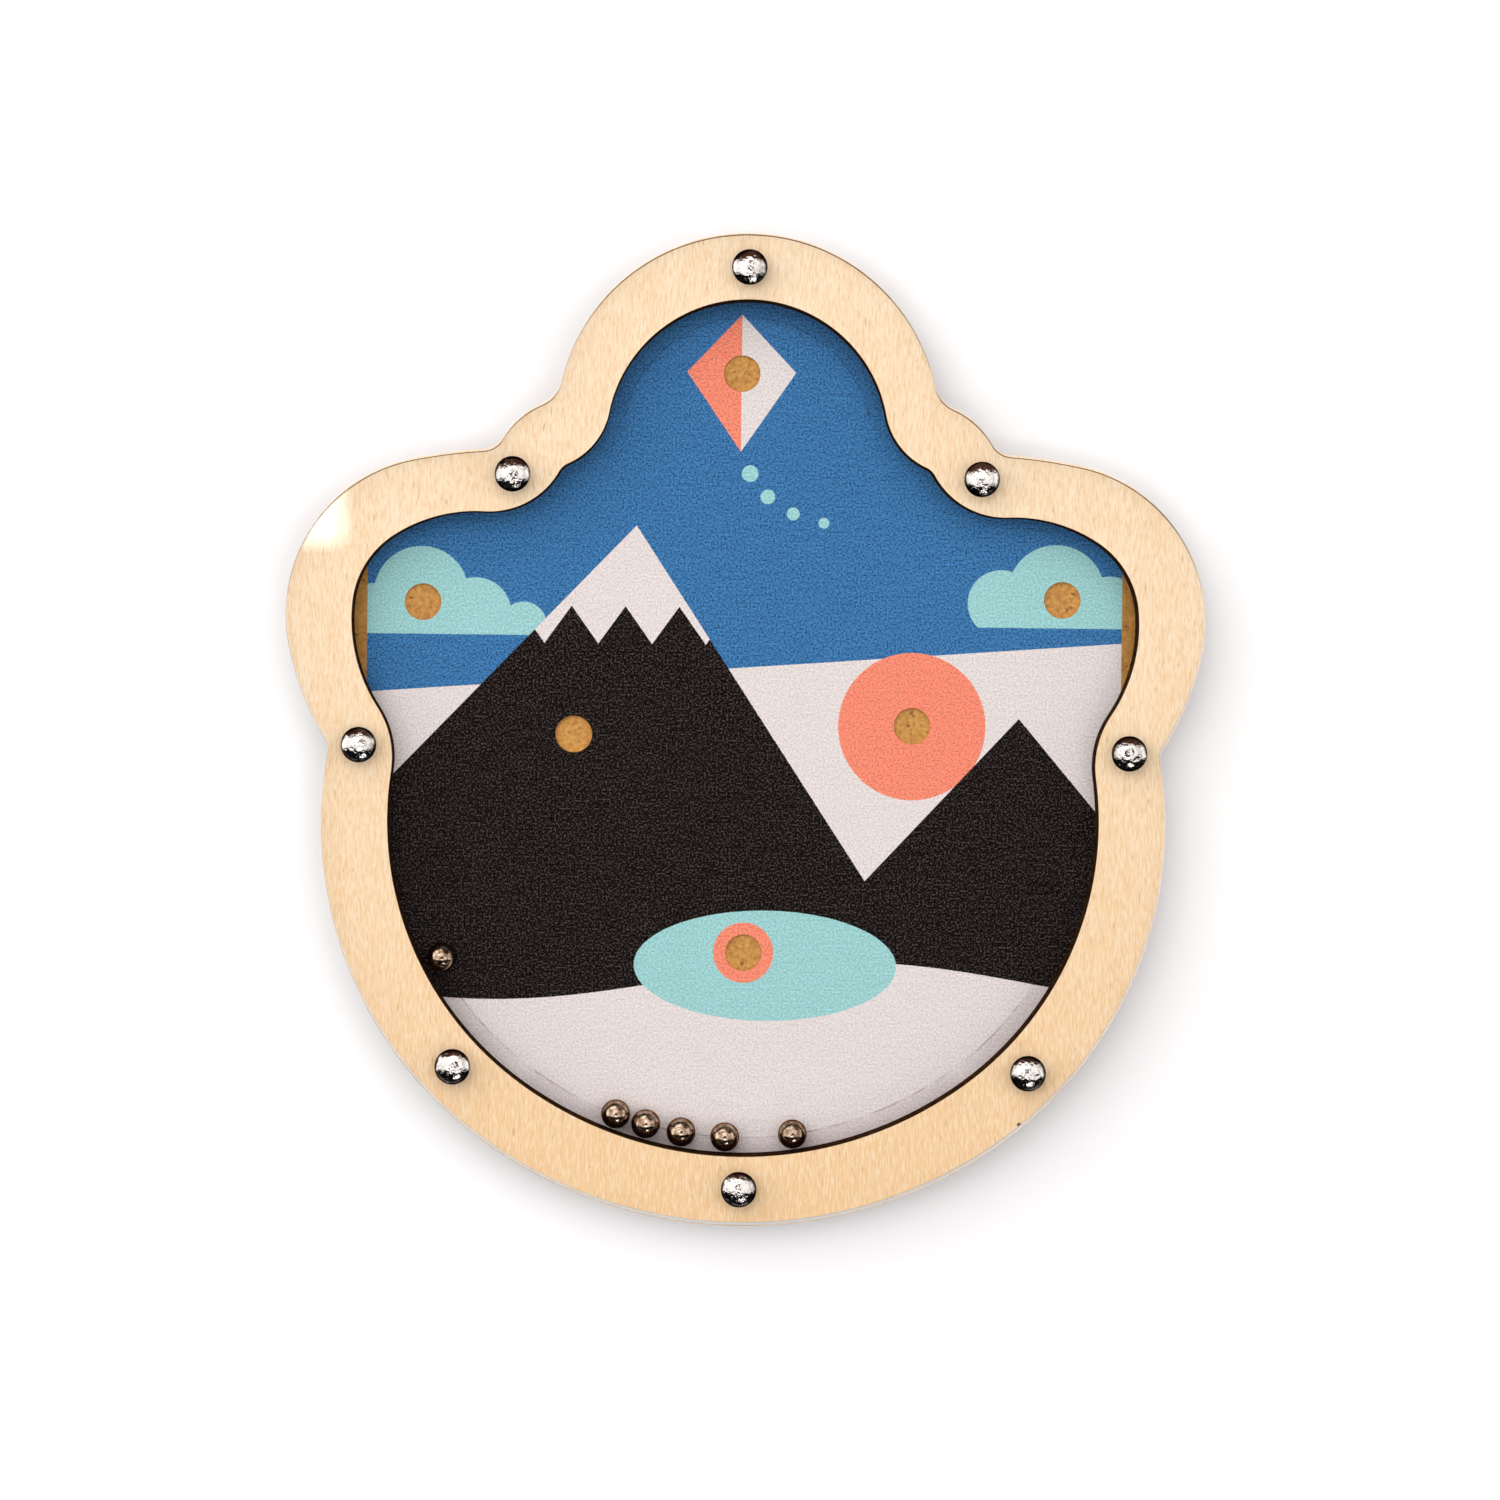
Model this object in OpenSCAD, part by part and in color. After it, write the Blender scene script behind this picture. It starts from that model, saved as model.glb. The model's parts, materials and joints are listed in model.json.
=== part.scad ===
// Tilt puzzle. Loose steel balls roll between a printed back panel and a clear window, inside a lobed
// plywood rail, and are tipped one at a time into shallow pockets. Dome-head nails hold the layers.
// Millimetres. X runs across, Y towards the crown and Z up through the window, with the back on Z = 0.

/* [Layers] */
// Thickness of the printed back panel
panel_t = 3; // [2.5:0.1:6]
// Thickness of the plywood rail, and so the height of the play space
rail_t = 5; // [5:0.1:8]
// Thickness of the clear window
window_t = 2; // [1:0.1:4]
// How far the window sits low of the rail's edge
window_drop = 0.4; // [0:0.1:1]

/* [Bowl and flanks of the play space] */
// Radius of the bowl, the wide lower arc
bowl_r = 58.2; // [54:0.1:62]
// Radius of the flanks, which carry on from the bowl
flank_r = 50.3; // [46:0.1:54]
// Angle below level where the bowl turns into a flank
flank_angle = 53; // [47:1:58]
// Radius of the knuckle between a flank and a side lobe
waist_r = 14.4; // [11:0.1:18]

/* [Side lobes of the play space] */
// Distance of a lobe's centre from the middle
lobe_x = 46.8; // [44:0.1:49]
// Height of a lobe's centre above the bowl's centre
lobe_y = 25.6; // [23:0.1:28]
// Radius of a lobe's tip
lobe_r = 14.1; // [12:0.1:16]
// Radius of a lobe's lower edge
lobe_under_r = 25.2; // [20:0.1:31]
// Angle above level where a lobe's lower edge turns into its tip
lobe_under_angle = 5; // [0:1:10]
// Radius of a lobe's upper edge
lobe_over_r = 23.5; // [19:0.1:29]
// Angle above level where a lobe's tip turns into its upper edge
lobe_over_angle = 57; // [50:1:64]

/* [Shoulders and crown of the play space] */
// Radius of the knuckle between a side lobe and a shoulder
neck_r = 12.5; // [10:0.1:15]
// Distance of a shoulder's centre from the middle
shoulder_x = 26.6; // [25.5:0.1:28]
// Height of a shoulder's centre above the bowl's centre
shoulder_y = 46.2; // [45:0.1:48]
// Radius of a shoulder
shoulder_r = 2.8; // [2:0.1:3.6]
// Radius of the knuckle between a shoulder and the crown
collar_r = 11.1; // [9.5:0.1:13.5]
// Height of the crown's centre above the bowl's centre
crown_y = 52.7; // [51:0.1:55]
// Radius of the crown
crown_r = 21.8; // [20:0.1:23]

/* [Rail] */
// Width of the rail
rail_w = 10.2; // [9:0.1:11.5]
// Width of the rail at the sides of the crown
crown_rail_w = 7.8; // [7:0.1:8.8]
// Extra width of the rail at the top of the crown
crown_lift = 2.6; // [1.8:0.1:3.4]
// Radius of the rim's lower edge at a side lobe
rim_under_r = 44.8; // [38:0.1:54]
// Angle below level where that edge turns into the lobe's tip
rim_under_angle = 11; // [7:1:15]
// Radius of the rim's upper edge at a side lobe
rim_over_r = 77.8; // [64:0.1:95]
// Angle above level where the lobe's tip turns into that edge
rim_over_angle = 78; // [74:1:80]
// Radius of the rim's notch at the waist
waist_notch_r = 1.7; // [1:0.1:3]
// Radius of the rim's notch at the neck
neck_notch_r = 3.7; // [2.5:0.1:5]
// Radius of the rim's notch at the collar
collar_notch_r = 5; // [3.5:0.1:6.5]

/* [Balls] */
// Diameter of a ball
ball_d = 4.5; // [3.5:0.1:4.6]
// Gap between a resting ball and the rail's wall
ball_wall_gap = 0.4; // [0.2:0.1:1]
// Gap between the ball on the flank and the rail's wall
stray_wall_gap = 0.9; // [0.2:0.1:2]
// Least gap between two resting balls
ball_spacing = 0.4; // [0.2:0.1:1]
// Rolling clearance under a ball
ball_lift = 0.05; // [0.02:0.01:0.1]
// Angle below level of the ball on the flank
stray_angle = 27.5; // [15:0.5:40]

/* [Pockets] */
// How much wider a pocket is than a ball
pocket_play = 1.1; // [0.5:0.05:2]
// Depth of a pocket
pocket_depth = 0.5; // [0.3:0.1:1.2]
// Height of the top pocket above the crown's centre
crown_pocket_y = 10.7; // [0:0.1:14]
// Distance of a lobe's pocket outwards of the lobe's centre
lobe_pocket_x = 3.1; // [0:0.1:5]
// Height of a lobe's pocket above the lobe's centre
lobe_pocket_y = 2.3; // [0:0.1:5]
// Distance of a middle pocket from the middle
middle_pocket_x = 26.4; // [15:0.1:32]
// Height of the right middle pocket above the bowl's centre
right_pocket_y = 8.3; // [0:0.1:12]
// Height of the left middle pocket above the bowl's centre
left_pocket_y = 7.2; // [0:0.1:12]
// Depth of the lowest pocket below the bowl's centre
low_pocket_y = 27; // [15:0.1:34]
// Turn of the panel's pattern against the rail, in degrees
pattern_turn = 0.8; // [0:0.1:2]

/* [Nails] */
// Diameter of a nail's head
nail_head_d = 5.5; // [4:0.1:6.5]
// Height of a nail's head
nail_head_h = 1.3; // [1:0.1:2.2]
// Height of the straight edge round a nail's head
nail_edge_h = 0.3; // [0.2:0.1:0.5]
// Diameter of a nail's shank
nail_shank_d = 1.6; // [1.2:0.1:2.4]
// Depth that a nail goes into the back panel
nail_bite = 1.6; // [1.2:0.1:2]
// Length of a nail's point
nail_point_l = 1.1; // [0.8:0.1:1.2]
// Diameter of the blunt end of the point
nail_tip_d = 0.3; // [0.2:0.1:0.5]
// Radial clearance of a nail in its hole
nail_clear = 0.05; // [0.02:0.01:0.15]
// Distance of a nail's axis from the play space
nail_wall_gap = 4.9; // [4:0.1:6]
// Angle below level of the nails on the flanks
low_nail_angle = 44; // [35:1:49]

/* [Hidden] */
// Turn between two neighbouring points of a curved edge, in degrees
curve_step = 2;
// Overrun that keeps a cut clear of the face it opens
cut = 0.5;
$fn = 96;

// Resting places along the bowl, counted in ball pitches from its foot
bowl_rests = [-4, -3, -1.85, -0.45, 1.7];

window_z = panel_t + rail_t;
top_z = window_z + window_t;
ball_r = ball_d / 2;
ball_z = panel_t + ball_lift + ball_r;
nail_hole_d = nail_shank_d + 2 * nail_clear;
pocket_d = ball_d + pocket_play;

// Places of the arcs in the list that makes one half of an outline
BOWL = 0;
FLANK = 1;
WAIST = 2;
NECK = 6;
CROWN = 9;

function polar(r, angle) = r * [cos(angle), sin(angle)];
function bearing(from, to) = atan2(to[1] - from[1], to[0] - from[0]);
function mirrored(points) = [for (p = points) [-p[0], p[1]]];
function turned(p, angle) = [p[0] * cos(angle) - p[1] * sin(angle), p[0] * sin(angle) + p[1] * cos(angle)];

// Centre of the circle of radius r that touches two others from outside, to the right of the way a to b
function touching(a, a_r, b, b_r, r) =
    let (
        span = norm(b - a),
        along = (b - a) / span,
        reach = (pow(a_r + r, 2) - pow(b_r + r, 2) + span * span) / (2 * span),
        offset = sqrt(pow(a_r + r, 2) - reach * reach)
    ) a + reach * along + offset * [along[1], -along[0]];

// An arc is [centre, radius, first angle, last angle]. In a knuckle the angle falls, so it bends inwards.
function knuckle(c, r, from, to) =
    let (first = bearing(c, from), last = bearing(c, to)) [c, r, first, last > first ? last - 360 : last];

// Right half of an outline as tangent arcs, from the foot of the bowl to the top of the crown. The play
// space and the rim share it: grow widens the arcs that they have in common. The lobe's lower and upper
// edges are [radius, angle where the edge meets the tip], and fillets are the waist, neck and collar radii.
function half_outline(grow, lower_edge, upper_edge, fillets, crown, crown_radius) =
    let (
        bowl = [0, 0],
        flank = polar(bowl_r - flank_r, -flank_angle),
        lobe = [lobe_x, lobe_y],
        tip_r = lobe_r + grow,
        under = lobe - polar(lower_edge[0] - tip_r, lower_edge[1]),
        over = lobe - polar(upper_edge[0] - tip_r, upper_edge[1]),
        shoulder = [shoulder_x, shoulder_y],
        waist = touching(flank, flank_r + grow, under, lower_edge[0], fillets[0]),
        neck = touching(over, upper_edge[0], shoulder, shoulder_r + grow, fillets[1]),
        collar = touching(shoulder, shoulder_r + grow, crown, crown_radius, fillets[2])
    ) [
        [bowl, bowl_r + grow, -90, -flank_angle],
        [flank, flank_r + grow, -flank_angle, bearing(flank, waist)],
        knuckle(waist, fillets[0], flank, under),
        [under, lower_edge[0], bearing(under, waist), lower_edge[1]],
        [lobe, tip_r, lower_edge[1], upper_edge[1]],
        [over, upper_edge[0], upper_edge[1], bearing(over, neck)],
        knuckle(neck, fillets[1], over, shoulder),
        [shoulder, shoulder_r + grow, bearing(shoulder, neck), bearing(shoulder, collar)],
        knuckle(collar, fillets[2], shoulder, crown),
        [crown, crown_radius, bearing(crown, collar), 90]
    ];

// Points along an arc, without its last one, where the next arc begins
function arc_points(arc) =
    let (
        turn = arc[3] - arc[2],
        steps = ceil(abs(turn) / curve_step)
    ) [for (i = [0 : steps - 1]) arc[0] + polar(arc[1], arc[2] + turn * i / steps)];

// Closed outline made of a right half and its mirror image
function closed_outline(arcs) =
    let (
        right = [for (arc = arcs) each arc_points(arc)],
        top = arcs[CROWN][0] + [0, arcs[CROWN][1]],
        left = [for (i = [len(right) - 1 : -1 : 1]) [-right[i][0], right[i][1]]]
    ) concat(right, [top], left);

// Place in the rail beside an arc of the play space
function rail_spot(arc, angle) =
    let (outward = arc[3] > arc[2] ? nail_wall_gap : -nail_wall_gap) arc[0] + polar(arc[1] + outward, angle);
function middle_spot(arc) = rail_spot(arc, (arc[2] + arc[3]) / 2);

play_arcs = half_outline(
    0,
    [lobe_under_r, lobe_under_angle],
    [lobe_over_r, lobe_over_angle],
    [waist_r, neck_r, collar_r],
    [0, crown_y],
    crown_r
);
rim_crown = [0, crown_y + crown_lift];
rim_crown_r = crown_r + crown_rail_w;
rim_arcs = half_outline(
    rail_w,
    [rim_under_r, -rim_under_angle],
    [rim_over_r, rim_over_angle],
    [waist_notch_r, neck_notch_r, collar_notch_r],
    rim_crown,
    rim_crown_r
);

// The outlines are drawn about the bowl's centre, and the finished pieces about the middle of the whole
rim_top = rim_crown[1] + rim_crown_r;
window_foot = -bowl_r - rail_w - window_drop;
middle_y = (rim_top + window_foot) / 2;

side_nails = [
    middle_spot(play_arcs[NECK]),
    middle_spot(play_arcs[WAIST]),
    rail_spot(play_arcs[FLANK], -low_nail_angle)
];
nail_spots = concat(
    [rail_spot(play_arcs[CROWN], 90), rail_spot(play_arcs[BOWL], -90)],
    side_nails,
    mirrored(side_nails)
);

lobe_pocket = [lobe_x + lobe_pocket_x, lobe_y + lobe_pocket_y];
pocket_pattern = concat(
    [[0, crown_y + crown_pocket_y], [0, -low_pocket_y]],
    [lobe_pocket, [middle_pocket_x, right_pocket_y]],
    mirrored([lobe_pocket, [middle_pocket_x, left_pocket_y]])
);
pocket_spots = [for (p = pocket_pattern) turned(p, pattern_turn)];

ball_path_r = bowl_r - ball_r - ball_wall_gap;
ball_pitch = 2 * asin((ball_d + ball_spacing) / (2 * ball_path_r));
flank_c = play_arcs[FLANK][0];
stray_spot = flank_c + polar(flank_r - ball_r - stray_wall_gap, -stray_angle);
ball_spots = concat(
    mirrored([stray_spot]),
    [for (n = bowl_rests) polar(ball_path_r, -90 + n * ball_pitch)]
);

module placed(z) translate([0, -middle_y, z]) children();

module rim_face() polygon(closed_outline(rim_arcs));

module play_face() polygon(closed_outline(play_arcs));

module nail_holes() for (spot = nail_spots) translate(spot) circle(d = nail_hole_d);

// Printed back panel with blind pockets for the balls and blind holes for the nails
module panel() color([0.75, 0.55, 0.3]) placed(0) difference() {
    linear_extrude(panel_t) rim_face();
    translate([0, 0, panel_t - pocket_depth])
        for (spot = pocket_spots) translate(spot) cylinder(d = pocket_d, h = pocket_depth + cut);
    translate([0, 0, panel_t - nail_bite - nail_clear])
        for (spot = nail_spots) translate(spot) cylinder(d = nail_hole_d, h = nail_bite + nail_clear + cut);
}

// Plywood rail round the play space
module rail() color([0.96, 0.82, 0.63]) placed(panel_t) linear_extrude(rail_t) difference() {
    rim_face();
    play_face();
    nail_holes();
}

// Clear window with the rim's outline
module window() color([0.9, 0.95, 0.97, 0.3]) placed(window_z) linear_extrude(window_t) difference() {
    translate([0, -window_drop]) rim_face();
    nail_holes();
}

// Dome with a short straight edge
module dome(d, h, edge_h) {
    rise = h - edge_h;
    dome_r = (d * d / 4 + rise * rise) / (2 * rise);
    intersection() {
        cylinder(d = d, h = h);
        translate([0, 0, h - dome_r]) sphere(dome_r);
    }
}

// Dome-head nail, driven through the window and the rail into the panel
module nail(spot) color([0.8, 0.79, 0.77]) placed(top_z) translate(spot) {
    shank_l = window_t + rail_t + nail_bite;
    dome(nail_head_d, nail_head_h, nail_edge_h);
    translate([0, 0, nail_point_l - shank_l])
        cylinder(d = nail_shank_d, h = shank_l - nail_point_l + nail_edge_h);
    translate([0, 0, -shank_l]) cylinder(d1 = nail_tip_d, d2 = nail_shank_d, h = nail_point_l);
}

// Loose steel ball
module ball(spot) color([0.42, 0.39, 0.37]) placed(ball_z) translate(spot) sphere(d = ball_d);

panel();
rail();
window();
for (i = [1 : len(nail_spots)])
    nail(nail_spots[i - 1]);
for (i = [1 : len(ball_spots)])
    ball(ball_spots[i - 1]);
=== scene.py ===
# %% [markdown]
# # A wooden tilt puzzle with six steel balls
# The puzzle is three flat sheets nailed together: a printed board at the back, a plywood rail that
# walls in the play space, and a clear window on top. Six loose balls roll between board and window.
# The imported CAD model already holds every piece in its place, so this lesson only dresses it:
# softer edges, hammered nail heads, finishes, light and a camera.

# %% Load the frame
import json
import math
import random

import bmesh
import bpy
from mathutils import Matrix, Vector

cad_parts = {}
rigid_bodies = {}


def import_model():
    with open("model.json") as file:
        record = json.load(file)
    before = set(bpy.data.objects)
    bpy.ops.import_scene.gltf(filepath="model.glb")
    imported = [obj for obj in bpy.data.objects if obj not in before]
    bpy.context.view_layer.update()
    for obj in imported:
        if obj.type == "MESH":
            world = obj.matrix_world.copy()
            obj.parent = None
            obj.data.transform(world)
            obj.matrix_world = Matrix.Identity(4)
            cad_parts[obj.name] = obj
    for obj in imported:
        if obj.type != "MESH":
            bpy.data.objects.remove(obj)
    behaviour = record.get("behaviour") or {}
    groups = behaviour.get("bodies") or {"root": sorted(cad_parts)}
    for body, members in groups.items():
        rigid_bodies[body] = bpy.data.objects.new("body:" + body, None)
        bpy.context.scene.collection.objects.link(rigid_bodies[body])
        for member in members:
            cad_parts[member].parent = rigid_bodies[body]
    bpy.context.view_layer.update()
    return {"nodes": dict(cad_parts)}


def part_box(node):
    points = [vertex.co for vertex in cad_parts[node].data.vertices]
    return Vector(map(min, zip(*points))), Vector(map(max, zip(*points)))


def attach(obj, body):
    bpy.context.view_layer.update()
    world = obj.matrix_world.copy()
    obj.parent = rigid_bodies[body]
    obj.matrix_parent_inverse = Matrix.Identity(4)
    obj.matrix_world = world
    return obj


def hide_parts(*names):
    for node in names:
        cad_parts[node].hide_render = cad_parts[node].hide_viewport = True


for leftover in list(bpy.data.objects):
    bpy.data.objects.remove(leftover)
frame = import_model()
MM = 0.001

# %% [markdown]
# ## Camera
# The photograph looks straight down on the puzzle, so nothing of its sides shows except the inner
# wall of the rail. That wall is a little wider at the bottom than at the top, which tells where the
# lens was: somewhat up and left of the picture's middle. A camera could be tilted to get the same
# framing, but a tilt would turn circles into ellipses. A small lens shift keeps the picture flat.
# The puzzle lies turned by under one degree in the picture, so the camera leans by that angle.

# %% Camera
PHOTO_SIDE = 1500
PIXEL = 0.155 * MM
FRAME_WIDTH = PHOTO_SIDE * PIXEL
FILM_WIDTH = 36
EYE_HEIGHT = 0.6
LEAN = math.radians(0.69)
picture_middle = Vector((6.0, -21.3, 0)) * PIXEL
lens_offset = Vector((-60, 95, 0)) * PIXEL

camera_data = bpy.data.cameras.new("overhead_camera")
camera_data.sensor_width = FILM_WIDTH
camera_data.lens = FILM_WIDTH * EYE_HEIGHT / FRAME_WIDTH
camera_data.shift_x = -lens_offset.x / FRAME_WIDTH
camera_data.shift_y = -lens_offset.y / FRAME_WIDTH
camera = bpy.data.objects.new("overhead_camera", camera_data)
camera.location = Matrix.Rotation(LEAN, 3, "Z") @ (picture_middle + lens_offset)
camera.location.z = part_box("rail")[1].z + EYE_HEIGHT
camera.rotation_euler = (0, 0, LEAN)
bpy.context.scene.collection.objects.link(camera)
bpy.context.scene.camera = camera
bpy.context.scene.view_settings.view_transform = "Standard"
print("lens in mm:", round(camera_data.lens, 1), "eye at", [round(v, 3) for v in camera.location])

# %% [markdown]
# ## Building blocks for finishes
# A finish is a tree of small nodes. Making each node by hand takes four lines, which buries the idea.
# These few helpers add one node, plug values or other nodes into it, and hand back its result, so
# a finish below reads as a recipe.

# %% Node helpers
SCALAR_RESULTS = ("LENGTH", "DISTANCE", "DOT_PRODUCT")


def plug(tree, value, socket):
    if isinstance(value, bpy.types.NodeSocket):
        tree.links.new(value, socket)
    else:
        socket.default_value = value


def add_sum(tree, kind, operation, values):
    node = tree.nodes.new(kind)
    node.operation = operation
    for value, socket in zip(values, node.inputs):
        plug(tree, value, socket)
    return node.outputs


def calc(tree, operation, *values):
    return add_sum(tree, "ShaderNodeMath", operation, values)[0]


def calc_vector(tree, operation, *values):
    outputs = add_sum(tree, "ShaderNodeVectorMath", operation, values)
    return outputs["Value" if operation in SCALAR_RESULTS else "Vector"]


def split(tree, vector):
    node = tree.nodes.new("ShaderNodeSeparateXYZ")
    plug(tree, vector, node.inputs[0])
    return node.outputs


def stretch(tree, vector, factors):
    return calc_vector(tree, "MULTIPLY", vector, factors)


print("number helpers ready")

# %% [markdown]
# Colours and patterns need three more: a fade turns one range of numbers into another, a tint lays
# one colour over another, and cloudy noise is the start of every natural pattern below. The noise is
# told how many times it repeats in a metre along x, y and z, so unlike numbers stretch it into fibres.

# %% Colour helpers
def fade(tree, value, start, end, low=0.0, high=1.0):
    node = tree.nodes.new("ShaderNodeMapRange")
    for setting, socket in zip((value, start, end, low, high), node.inputs):
        plug(tree, setting, socket)
    return node.outputs[0]


def tint(tree, amount, below, above, mode="MIX"):
    node = tree.nodes.new("ShaderNodeMix")
    node.data_type = "RGBA"
    node.blend_type = mode
    for value, socket in zip((amount, below, above), (node.inputs[0], node.inputs[6], node.inputs[7])):
        plug(tree, value, socket)
    return node.outputs[2]


def cloudy(tree, vector, per_metre, detail=2.0, roughness=0.5):
    node = tree.nodes.new("ShaderNodeTexNoise")
    node.inputs["Scale"].default_value = 1.0
    node.inputs["Detail"].default_value = detail
    node.inputs["Roughness"].default_value = roughness
    plug(tree, stretch(tree, vector, per_metre), node.inputs["Vector"])
    return node.outputs[0]


def srgb(red, green, blue):
    parts = [c / 255 for c in (red, green, blue)]
    return tuple(c / 12.92 if c <= 0.04045 else ((c + 0.055) / 1.055) ** 2.4 for c in parts) + (1.0,)


print("pale birch in linear light:", [round(c, 3) for c in srgb(250, 218, 176)])

# %% [markdown]
# Every finish starts the same way: a material with one Principled shader, and the place on the
# piece from the Object output. All pieces sit at the origin, so that place is in metres of the
# puzzle itself. Patterns then stay put when a ball rolls or the view changes.

# %% Start of a finish
def new_finish(name, **settings):
    finish = bpy.data.materials.new(name)
    finish.use_nodes = True
    tree = finish.node_tree
    shader = tree.nodes["Principled BSDF"]
    for socket, value in settings.items():
        shader.inputs[socket.replace("_", " ")].default_value = value
    place = tree.nodes.new("ShaderNodeTexCoord").outputs["Object"]
    return finish, tree, shader, place


def relief(tree, shader, height, depth, strength=1.0):
    node = tree.nodes.new("ShaderNodeBump")
    node.inputs["Strength"].default_value = strength
    node.inputs["Distance"].default_value = depth
    plug(tree, height, node.inputs["Height"])
    plug(tree, node.outputs[0], shader.inputs["Normal"])


def new_group(name, outputs):
    group = bpy.data.node_groups.new(name, "ShaderNodeTree")
    group.interface.new_socket("Place", in_out="INPUT", socket_type="NodeSocketVector")
    for label, kind in outputs.items():
        group.interface.new_socket(label, in_out="OUTPUT", socket_type="NodeSocket" + kind)
    place = group.nodes.new("NodeGroupInput").outputs[0]
    return group, place, group.nodes.new("NodeGroupOutput").inputs


def use_group(tree, group, place):
    node = tree.nodes.new("ShaderNodeGroup")
    node.node_tree = group
    plug(tree, place, node.inputs[0])
    return node.outputs


print("finish helpers ready")

# %% [markdown]
# ## Fibres of the board
# The back is medium-density fibreboard: pressed wood fibres, brown and mottled, with darker flecks of
# bark. The same fibres show in the bare pockets, along the cut edges, and as a fine tooth under the
# ink. A picture of board would repeat and blur close up. Three layers of noise do not: one for the
# mottling, one for the tooth of single fibres and one for the flecks. All board finishes share them.

# %% Board fibres
board_fibre, where, out = new_group("board_fibre", {"Mottle": "Float", "Tooth": "Float", "Flecks": "Float"})
plug(board_fibre, cloudy(board_fibre, where, (1500, 1500, 1500), 3.0, 0.6), out["Mottle"])
plug(board_fibre, cloudy(board_fibre, where, (2800, 2800, 2800), 1.0, 0.4), out["Tooth"])
fleck = cloudy(board_fibre, where, (900, 1100, 1000), 1.0, 0.4)
plug(board_fibre, fade(board_fibre, fleck, 0.68, 0.76), out["Flecks"])
print("board_fibre nodes:", len(board_fibre.nodes))

# %% [markdown]
# ## Bare and cut board
# In the pockets and on the back the board is bare. Its outer edge was cut by a laser and is scorched to
# a dark brown in upright streaks, which is noise that changes slowly from bottom to top.

# %% Bare board
BARK = srgb(104, 58, 24)
bare_board, tree, shader, place = new_finish("bare_board")
fibres = use_group(tree, board_fibre, place)
brown = tint(tree, fade(tree, fibres["Mottle"], 0.3, 0.7), srgb(165, 104, 38), srgb(222, 163, 82))
brown = tint(tree, fade(tree, fibres["Tooth"], 0.35, 0.75, 0.0, 0.4), brown, srgb(220, 170, 96))
brown = tint(tree, calc(tree, "MULTIPLY", fibres["Flecks"], 0.75), brown, BARK)
plug(tree, brown, shader.inputs["Base Color"])
plug(tree, fade(tree, fibres["Tooth"], 0.3, 0.7, 0.68, 0.84), shader.inputs["Roughness"])
relief(tree, shader, fibres["Tooth"], 0.03 * MM)
print("finish:", bare_board.name)

# %% Cut board
cut_board, tree, shader, place = new_finish("cut_board")
fibres = use_group(tree, board_fibre, place)
scorch = cloudy(tree, place, (1400, 1400, 130), 2.0, 0.6)
brown = tint(tree, fade(tree, scorch, 0.3, 0.7), srgb(58, 36, 20), srgb(112, 74, 40))
brown = tint(tree, fade(tree, fibres["Mottle"], 0.45, 0.8, 0.0, 0.4), brown, srgb(140, 96, 54))
plug(tree, brown, shader.inputs["Base Color"])
plug(tree, fade(tree, fibres["Tooth"], 0.3, 0.7, 0.7, 0.9), shader.inputs["Roughness"])
relief(tree, shader, scorch, 0.05 * MM)
print("finish:", cut_board.name)

# %% [markdown]
# ## Ink shapes
# The picture is printed straight on the board in five flat inks. Its shapes could be cut as thin
# films, but ink has no thickness to speak of. So each shape is a distance to an edge, worked out in
# millimetres: negative inside, positive outside. The larger of two distances is where both shapes
# overlap, and the smaller joins them.

# %% Distances to shapes
INK_BLUR = 0.03


def disc(tree, spot, x, y, radius):
    return calc(tree, "SUBTRACT", calc_vector(tree, "DISTANCE", spot, (x, y, 0)), radius)


def right_of(tree, spot, start, end):
    along = Vector(end) - Vector(start)
    across = Vector((-along.y, along.x, 0)).normalized()
    offset = across.x * start[0] + across.y * start[1]
    return calc(tree, "SUBTRACT", calc_vector(tree, "DOT_PRODUCT", spot, across), offset)


def both(tree, first, *others):
    for other in others:
        first = calc(tree, "MAXIMUM", first, other)
    return first


def either(tree, first, *others):
    for other in others:
        first = calc(tree, "MINIMUM", first, other)
    return first


def print_ink(tree, paper, distance, ink):
    return tint(tree, fade(tree, distance, INK_BLUR, -INK_BLUR), paper, ink)


print("distances ready, ink edges blurred over", 2 * INK_BLUR, "mm")

# %% [markdown]
# Larger shapes come from these: a cloud is a heap of discs with a flat base, a peak lies between two
# slopes, and a polygon lies to the right of all its sides.

# %% Larger shapes
def cloud(tree, spot, puffs, base):
    heap = either(tree, *[disc(tree, spot, *puff) for puff in puffs])
    return both(tree, heap, right_of(tree, spot, (9, base), (-9, base)))


def peak(tree, spot, left_foot, top, right_foot):
    return both(tree, right_of(tree, spot, left_foot, top), right_of(tree, spot, top, right_foot))


def polygon(tree, spot, *corners):
    sides = zip(corners, corners[1:] + corners[:1])
    return both(tree, *[right_of(tree, spot, start, end) for start, end in sides])


print("larger shapes ready")

# %% [markdown]
# ## The printed picture
# The scene is a mountain shore: a blue sky with two teal clouds, a kite, a low coral sun, dark
# mountains with a snowcap, a teal lake and a pale snowfield in front. Every pocket has a thing of its
# own to belong to. The inks go on from back to front, as a screen printer would lay them.

# %% Inks and sky
PALE_INK = srgb(232, 221, 219)
DARK_INK = srgb(22, 18, 17)
BLUE_INK = srgb(60, 116, 168)
TEAL_INK = srgb(160, 210, 210)
CORAL_INK = srgb(250, 141, 115)
LEFT_PUFFS = ((-50.5, 20.5, 7.4), (-42.0, 17.5, 5.6), (-34.5, 15.8, 3.6), (-58.0, 17.0, 5.0))
RIGHT_PUFFS = ((48.6, 21.6, 7.6), (57.0, 19.0, 5.4), (40.0, 20.0, 5.2))

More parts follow.
